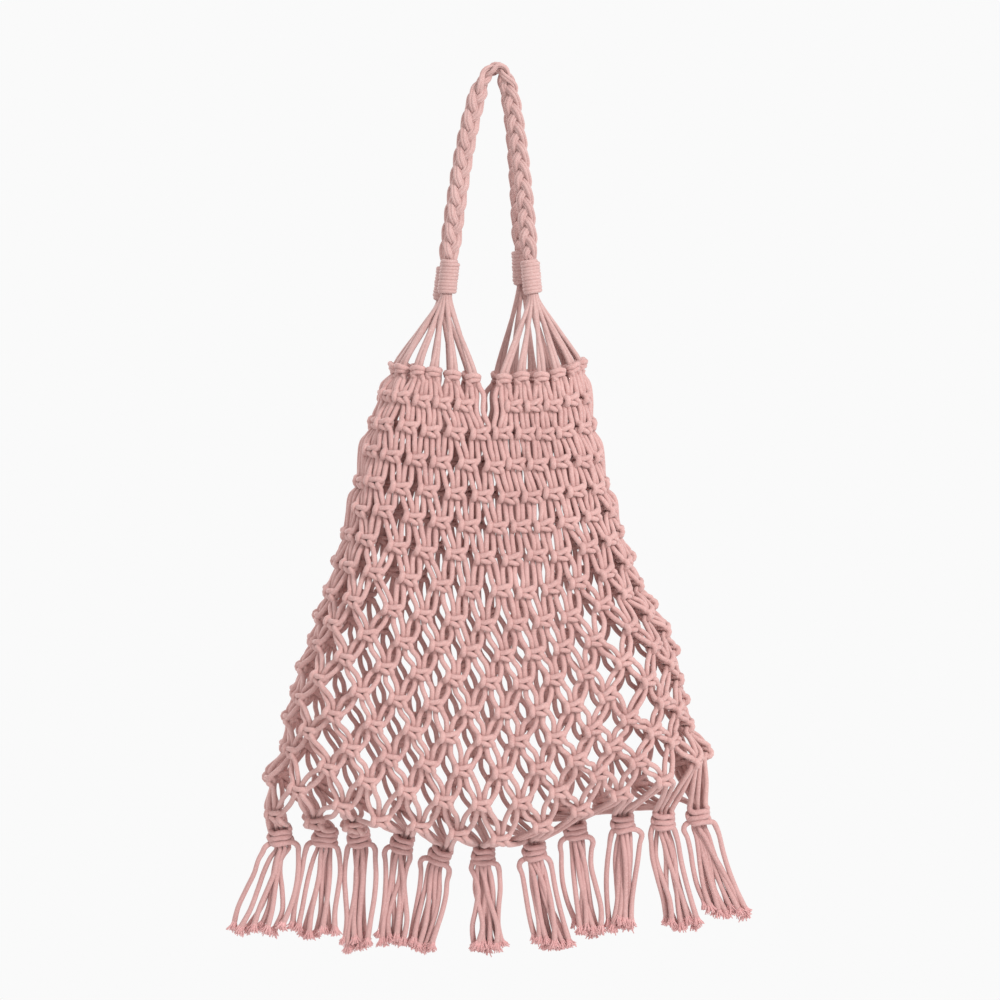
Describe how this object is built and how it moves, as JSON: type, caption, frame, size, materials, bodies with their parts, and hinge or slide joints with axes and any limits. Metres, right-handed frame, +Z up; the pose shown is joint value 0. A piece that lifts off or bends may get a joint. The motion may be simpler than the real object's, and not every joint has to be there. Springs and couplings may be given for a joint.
{
  "type": "string shopping bag",
  "caption": "Knotted net shopping bag with an open mouth, side slits, two braided handles bound with cord, and a row of tassels along its closed bottom.",
  "frame": {"origin": "where a hook or a hand carries the two handles, on the underside of their bend and midway between them", "axes": "+Z up as the bag hangs, +X to the right of a viewer facing its front, and the front faces -Y"},
  "size_m": [0.4196, 0.1262, 0.7084],
  "materials": {
    "net_cord": "matte dusty pink cotton cord",
    "handle_cord": "matte dusty pink cotton cord",
    "wrap_cord": "matte dusty pink cotton cord",
    "tassel_cord": "matte dusty pink cotton cord, frayed at its ends"
  },
  "bodies": {
    "root": {"net_body": "net_cord", "handle_front": "handle_cord", "handle_back": "handle_cord", "wrap_front_left": "wrap_cord", "wrap_front_right": "wrap_cord", "wrap_back_left": "wrap_cord", "wrap_back_right": "wrap_cord", "tassel_01": "tassel_cord", "tassel_02": "tassel_cord", "tassel_03": "tassel_cord", "tassel_04": "tassel_cord", "tassel_05": "tassel_cord", "tassel_06": "tassel_cord", "tassel_07": "tassel_cord", "tassel_08": "tassel_cord", "tassel_09": "tassel_cord", "tassel_10": "tassel_cord", "tassel_11": "tassel_cord"}
  },
  "joints": []
}
